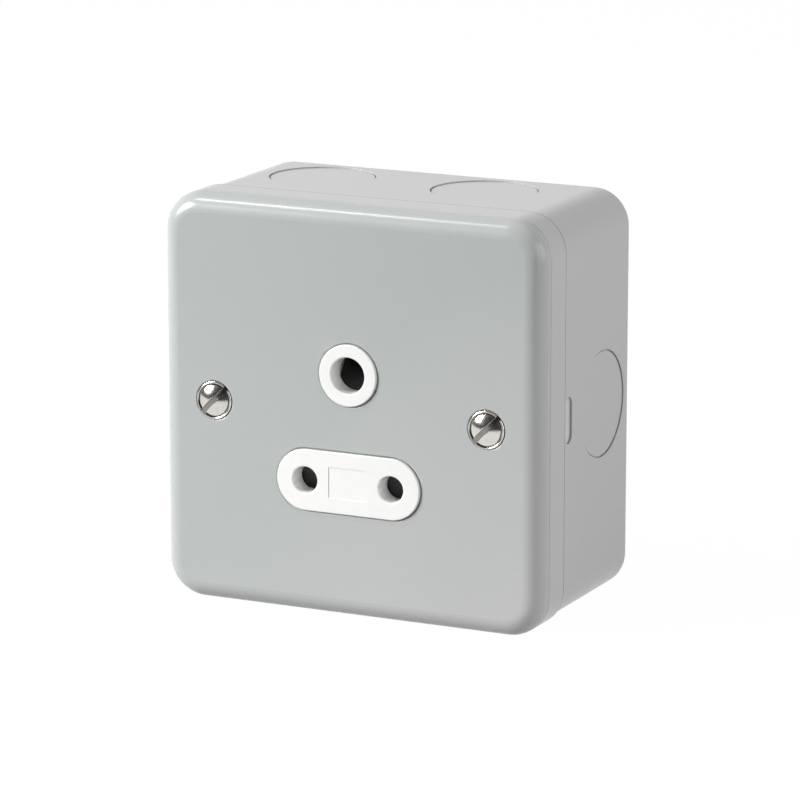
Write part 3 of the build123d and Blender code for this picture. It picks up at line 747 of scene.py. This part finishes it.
@dataclass
class CoverScrews:
    """The two raised countersunk screws of the cover, sizes in millimetres.

    From the outside in, the head has an upright edge, a rounded land, a ring groove and the dome with the slot.
    The shank is threaded except for plain_length, which is shared by its root and its tip.
    """

    centres: float = 60.3
    face: float = 45.5
    head: float = 7.8
    land: float = 0.75
    edge: float = 0.3
    dome: float = 0.75
    groove: float = 0.35
    slot_width: float = 1.1
    slot_depth: float = 1.2
    slot_angle: float = 45.0
    slot_round: float = 0.07
    soft_angle: float = 40.0
    core_radius: float = 1.5
    thread_pitch: float = 0.6
    thread_start: float = 3.4
    plain_length: float = 4.2
    length: float = 15.5
    dome_points: int = 12
    points_round: int = 64

    def profile(self) -> list[tuple[float, float]]:
        """Half section of a screw with its face at nought.

        Returns:
            Radius and Y of each point, from the top of the dome to the tip.
        """
        rim = -self.edge / 2
        outer = self.head / 2
        base = outer - self.land
        ball = (base ** 2 + self.dome ** 2) / (2 * self.dome)
        points: list[tuple[float, float]] = [(0.0, rim - self.dome)]
        for i in range(1, self.dome_points + 1):
            radius = base * i / self.dome_points
            points.append((radius, rim - (math.sqrt(ball ** 2 - radius ** 2) - (ball - self.dome))))
        # Ring groove round the dome, then the rounded rim
        points += [(base + 0.04, rim + self.groove), (base + 0.34, rim + self.groove), (base + 0.40, rim - 0.01)]
        points += [(outer - 0.22, rim - 0.06), (outer - 0.07, rim), (outer, rim + 0.09)]
        # Countersink down to the core, then the chamfered tip
        points += [(outer, -rim), (self.core_radius + 0.25, -rim + 2.1), (self.core_radius, -rim + 2.35)]
        points += [(self.core_radius, self.length - 0.5), (self.core_radius - 0.45, self.length), (0.0, self.length)]
        return points

    def build(self, recipe: Recipe, workshop: Workshop) -> None:
        """Make one screw with its slot, then the pair, and mount it.

        Args:
            recipe: Recipe of the fastener sets.
            workshop: Gives the finish and mounts the pair.
        """
        core = plain_object("cover_screw_core", turned_mesh("cover_screw_core", self.profile(), self.points_round))
        top = -self.edge / 2 - self.dome
        block = bmesh.new()
        bmesh.ops.create_cube(block, size=1.0)
        size = Vector((self.head + 2, self.slot_depth + 1, self.slot_width)) * MM
        for vert in block.verts:
            vert.co = Vector(a * b for a, b in zip(vert.co, size))
            vert.co.y += (top + (self.slot_depth - 1) / 2) * MM
            vert.co.rotate(Euler((0.0, -math.radians(self.slot_angle), 0.0)))
        cutter_mesh = bpy.data.meshes.new("slot_cutter")
        block.to_mesh(cutter_mesh)
        block.free()
        cutter = plain_object("slot_cutter", cutter_mesh)
        cut = core.modifiers.new("slot", "BOOLEAN")
        cut.operation = "DIFFERENCE"
        cut.solver = "EXACT"
        cut.object = cutter
        soft = core.modifiers.new("soft_edges", "BEVEL")
        soft.width = self.slot_round * MM
        soft.segments = 2
        soft.limit_method = "ANGLE"
        soft.angle_limit = math.radians(self.soft_angle)
        settle(core)
        bpy.data.objects.remove(cutter)
        core.data.shade_smooth()
        pair = FastenerSet(
            "cover_screws", core, self.core_radius + 0.02, self.thread_pitch, self.length - self.plain_length,
            self.thread_start, (-self.centres / 2, -self.face, 0.0), columns=2, column_step=self.centres)
        piece = pair.build(recipe, workshop.materials[Slot.PLATED_SCREW])
        workshop.mount(piece, Body.HOUSING, ("plate_screw_left", "plate_screw_right"))


@dataclass
class CoverStuds:
    """Four studs welded inside the cover, sizes in millimetres."""

    inside: float = 44.3
    length: float = 7.4
    foot_radius: float = 2.2
    foot_height: float = 0.7
    core_radius: float = 1.28
    thread_pitch: float = 0.5
    thread_gap: float = 0.6
    plain_length: float = 1.8
    points_round: int = 32

    def build(self, recipe: Recipe, workshop: Workshop) -> None:
        """Make the studs in two columns and two rows, and mount them.

        Args:
            recipe: Recipe of the fastener sets.
            workshop: Gives the finish and mounts the studs.
        """
        low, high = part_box("cover_stud_lower_left")
        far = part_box("cover_stud_upper_right")
        first = (low + high) / 2 / MM
        last = (far[0] + far[1]) / 2 / MM
        profile = [(0.0, 0.0), (self.foot_radius, 0.0), (self.foot_radius, self.foot_height - 0.15),
                   (self.foot_radius - 0.2, self.foot_height), (self.core_radius, self.foot_height + 0.1),
                   (self.core_radius, self.length - 0.4), (self.core_radius - 0.35, self.length), (0.0, self.length)]
        core = plain_object("stud_core", turned_mesh("stud_core", profile, self.points_round))
        studs = FastenerSet(
            "cover_studs", core, self.core_radius + 0.01, self.thread_pitch, self.length - self.plain_length,
            self.foot_height + self.thread_gap, (first.x, -self.inside, first.z), columns=2,
            column_step=last.x - first.x, rows=2, row_step=last.z - first.z)
        piece = studs.build(recipe, workshop.materials[Slot.ZINC])
        names = tuple(f"cover_stud_{row}_{hand}" for row in ("upper", "lower") for hand in ("left", "right"))
        workshop.mount(piece, Body.HOUSING, names)


@dataclass
class ReturnSpring:
    """Compression spring that lifts the shutter, with closed end coils, sizes in millimetres."""

    wire: float = 0.25
    active_turns: int = 8
    end_turns: int = 1
    end_pitch: float = 1.02
    end_play: float = 0.02
    travel: float = 7.56
    joint: str = "shutter_slide"
    node: str = "shutter_spring"
    points_in_turn: int = 28
    points_round: int = 10

    def recipe(self) -> Recipe:
        """Build the tree of the coil, whose turns lie closed at both ends.

        Returns:
            The recipe of the spring.
        """
        recipe = Recipe.start("closed_end_coil", {
            "Coil radius": "Float", "Wire radius": "Float", "Length": "Float", "Turns": "Float",
            "End share": "Float", "End height": "Float", "Place": "Vector"})
        tree, given = recipe.tree, recipe.given()
        coil = add(tree, "GeometryNodeCurveSpiral", {}, {
            "Resolution": self.points_in_turn, "Rotations": given["Turns"], "Start Radius": given["Coil radius"],
            "End Radius": given["Coil radius"], "Height": 0.0})
        along = add(tree, "GeometryNodeSplineParameter", {}, {}).outputs["Factor"]
        end_share, end_height = given["End share"], given["End height"]
        far_share = compute(tree, "SUBTRACT", 1.0, end_share)
        open_height = compute(tree, "SUBTRACT", given["Length"], compute(tree, "MULTIPLY", end_height, 2.0))
        height: Number = 0.0
        for start, end, rise in ((0.0, end_share, end_height), (end_share, far_share, open_height),
                                 (far_share, 1.0, end_height)):
            height = compute(tree, "ADD", height, ramp(tree, along, start, end, 0.0, rise))
        lift = add(tree, "ShaderNodeCombineXYZ", {}, {"Z": height})
        risen = add(tree, "GeometryNodeSetPosition", {}, {"Geometry": coil.outputs[0], "Offset": lift.outputs[0]})
        section = add(tree, "GeometryNodeCurvePrimitiveCircle", {}, {
            "Resolution": self.points_round, "Radius": given["Wire radius"]})
        drawn = add(tree, "GeometryNodeCurveToMesh", {}, {
            "Curve": risen.outputs[0], "Profile Curve": section.outputs[0], "Fill Caps": True})
        placed = add(tree, "GeometryNodeTransform", {}, {"Geometry": drawn.outputs[0], "Translation": given["Place"]})
        recipe.end(placed.outputs[0])
        return recipe

    def build(self, workshop: Workshop) -> None:
        """Wind the spring in the place of its node.

        Args:
            workshop: Gives the finish and mounts the spring.
        """
        low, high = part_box(self.node)
        wire = self.wire * MM
        play = self.end_play * MM
        span = high.z - low.z
        turns = self.active_turns + 2 * self.end_turns
        recipe = self.recipe()
        piece = recipe.grow("return_spring", {
            "Coil radius": (high.x - low.x - wire) / 2, "Wire radius": wire / 2, "Length": span - wire - 2 * play,
            "Turns": float(turns), "End share": self.end_turns / turns,
            "End height": self.end_turns * wire * self.end_pitch,
            "Place": ((low.x + high.x) / 2, (low.y + high.y) / 2, low.z + wire / 2 + play),
        }, workshop.materials[Slot.SPRING])
        bpy.data.node_groups.remove(recipe.tree)
        workshop.mount(piece, Body.HOUSING, (self.node,))
        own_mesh(piece)


# Sub-assemblies that keep the shapes of the frame


@dataclass
class SubAssembly:
    """Nodes of one sub-assembly and the slot of each."""

    title: str
    slots: dict[str, Slot]

    def dress(self, workshop: Workshop) -> None:
        """Put its finish on every node.

        Args:
            workshop: Gives the finishes.
        """
        LOG.info("sub-assembly: %s", self.title)
        for node, slot in self.slots.items():
            workshop.dress(node, slot)


def sub_assemblies() -> list[SubAssembly]:
    """List the sub-assemblies from the wall to the front.

    Returns:
        Enclosure, moulding, shutter gear, contacts and earth bonding.
    """
    contacts: dict[str, Slot] = {}
    for pole in ("line", "neutral", "earth"):
        contacts[f"{pole}_contact"] = Slot.BRASS
        contacts[f"{pole}_contact_clip"] = Slot.SPRING
        contacts[f"{pole}_terminal_screw"] = Slot.BRASS
    nuts = {f"cover_nut_{row}_{hand}": Slot.ZINC for row in ("upper", "lower") for hand in ("left", "right")}
    return [
        SubAssembly("steel enclosure", {
            "back_box": Slot.PAINT, "front_plate": Slot.PAINT, "fixing_lug_left": Slot.ZINC,
            "fixing_lug_right": Slot.ZINC}),
        SubAssembly("socket moulding", {
            "socket_front": Slot.WHITE_FRONT, "socket_base": Slot.BASE, "moulding_screw_left": Slot.ZINC,
            "moulding_screw_right": Slot.ZINC, **nuts}),
        SubAssembly("shutter gear", {"shutter": Slot.SHUTTER}),
        SubAssembly("contacts", contacts),
        SubAssembly("earth bonding", {
            "earth_strap": Slot.BRASS, "box_earth_terminal": Slot.BRASS, "box_earth_screw": Slot.BRASS}),
    ]


# Studio


@dataclass(frozen=True)
class Lamp:
    """One soft rectangular lamp, in metres and watts."""

    name: str
    place: tuple[float, float, float]
    width: float
    height: float
    power: float
    colour: str = "#FFFFFF"

    def build(self, target: Vector) -> None:
        """Hang the lamp and turn it to the target.

        Args:
            target: Point that it shines on.
        """
        light = bpy.data.lights.new(self.name, "AREA")
        light.shape = "RECTANGLE"
        light.size = self.width
        light.size_y = self.height
        light.energy = self.power
        light.color = linear(self.colour)[:3]
        hung = bpy.data.objects.new(self.name, light)
        bpy.context.scene.collection.objects.link(hung)
        hung.location = self.place
        hung.rotation_euler = (target - Vector(self.place)).to_track_quat("-Z", "Y").to_euler()


@dataclass
class Studio:
    """Pale floor, soft lamps, pale surroundings and the camera at the photograph's angle."""

    floor_level: float = -0.042
    floor_x: tuple[float, float] = (-3.0, 3.0)
    floor_y: tuple[float, float] = (-0.25, 6.0)
    floor_colour: str = "#A4A4A4"
    floor_glow: float = 0.92
    floor_white: float = 1.07
    sky_level: float = 0.20
    sky_way: tuple[float, float, float] = (0.22, 0.92, 0.32)
    sky_dim: str = "#3C3E40"
    camera_place: tuple[float, float, float] = (0.39631, -0.84521, 0.20908)
    camera_azimuth: float = 25.703
    camera_elevation: float = 13.0
    camera_lens: float = 207.5
    target: Vector = field(default_factory=lambda: Vector((0.0, -0.025, 0.0)))
    lamps: tuple[Lamp, ...] = (
        Lamp("key_left", (-0.78, -0.64, 0.42), 0.44, 0.44, 15.2),
        Lamp("side_right", (1.02, -0.22, 0.16), 1.0, 1.0, 7.7),
        Lamp("edge_light", (-0.56, -0.40, 1.02), 0.14, 0.14, 2.4),
    )

    def floor(self) -> None:
        """Lay the floor, which glows a little for the camera and keeps the shadow."""
        left, right = self.floor_x
        near, far = self.floor_y
        mesh = bpy.data.meshes.new("floor")
        outline = [(left, near), (right, near), (right, far), (left, far)]
        mesh.from_pydata([(x, y, self.floor_level) for x, y in outline], [], [(0, 1, 2, 3)])
        laid = plain_object("floor", mesh)
        made = bpy.data.materials.new("matt_white_paper")
        tree = blank_tree(made)
        path = add(tree, "ShaderNodeLightPath", {}, {}).outputs
        seen = compute(tree, "MAXIMUM", path["Is Camera Ray"], path["Is Glossy Ray"])
        share = compute(tree, "MULTIPLY", seen, self.floor_glow)
        paper = add(tree, "ShaderNodeBsdfDiffuse", {}, {"Color": linear(self.floor_colour)})
        glow = add(tree, "ShaderNodeEmission", {}, {"Color": linear("#FFFFFF"), "Strength": self.floor_white})
        mixed = add(tree, "ShaderNodeMixShader", {}, {0: share, 1: paper.outputs[0], 2: glow.outputs[0]})
        add(tree, "ShaderNodeOutputMaterial", {}, {"Surface": mixed.outputs[0]})
        mesh.materials.append(made)

    def surroundings(self) -> None:
        """Hang the surroundings: white behind and above the socket, dim in front, where the camera stands."""
        world = bpy.data.worlds.new("pale_studio")
        tree = blank_tree(world)
        way = add(tree, "ShaderNodeTexCoord", {}, {}).outputs["Generated"]
        axis = add(tree, "ShaderNodeVectorMath", {"operation": "DOT_PRODUCT"}, {0: way, 1: self.sky_way})
        tone = blend_colour(tree, ramp(tree, axis.outputs["Value"], -0.5, 0.5, 0.0, 1.0), self.sky_dim, "#FFFFFF")
        path = add(tree, "ShaderNodeLightPath", {}, {}).outputs
        mirrored = compute(tree, "MAXIMUM", path["Is Glossy Ray"], path["Is Transmission Ray"])
        level = ramp(tree, mirrored, 0.0, 1.0, self.sky_level, 1.0)
        light = add(tree, "ShaderNodeBackground", {}, {"Color": tone, "Strength": level})
        white = add(tree, "ShaderNodeBackground", {}, {"Color": linear("#FFFFFF"), "Strength": 1.0})
        mixed = add(tree, "ShaderNodeMixShader", {}, {
            0: path["Is Camera Ray"], 1: light.outputs[0], 2: white.outputs[0]})
        add(tree, "ShaderNodeOutputWorld", {}, {"Surface": mixed.outputs[0]})
        bpy.context.scene.world = world

    def camera(self) -> None:
        """Set the camera where the photograph was taken from."""
        data = bpy.data.cameras.new("photo_camera")
        data.sensor_width = 36.0
        data.lens = self.camera_lens
        data.clip_start = 0.05
        data.clip_end = 30.0
        eye = bpy.data.objects.new("photo_camera", data)
        bpy.context.scene.collection.objects.link(eye)
        eye.location = self.camera_place
        eye.rotation_euler = (math.radians(90 - self.camera_elevation), 0.0, math.radians(self.camera_azimuth))
        bpy.context.scene.camera = eye

    def build(self) -> None:
        """Set up the whole studio."""
        self.camera()
        self.floor()
        self.surroundings()
        for lamp in self.lamps:
            lamp.build(self.target)
        bpy.context.scene.view_settings.view_transform = "Standard"


def corners(box: tuple[Vector, Vector]) -> list[list[float]]:
    """Turn a box into plain numbers.

    Args:
        box: Its lowest and highest corner.

    Returns:
        The corners as lists.
    """
    return [[float(v) for v in corner] for corner in box]


def main() -> None:
    """Build everything in order."""
    logging.basicConfig(level=logging.INFO, format="%(message)s")
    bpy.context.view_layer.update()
    Studio().build()
    workshop = Workshop()
    for part in sub_assemblies():
        part.dress(workshop)
    fasteners = FastenerTree().build()
    CoverScrews().build(fasteners, workshop)
    CoverStuds().build(fasteners, workshop)
    bpy.data.node_groups.remove(fasteners.tree)
    ReturnSpring().build(workshop)
    LOG.info("boxes written")


if __name__ == "__main__":
    main()
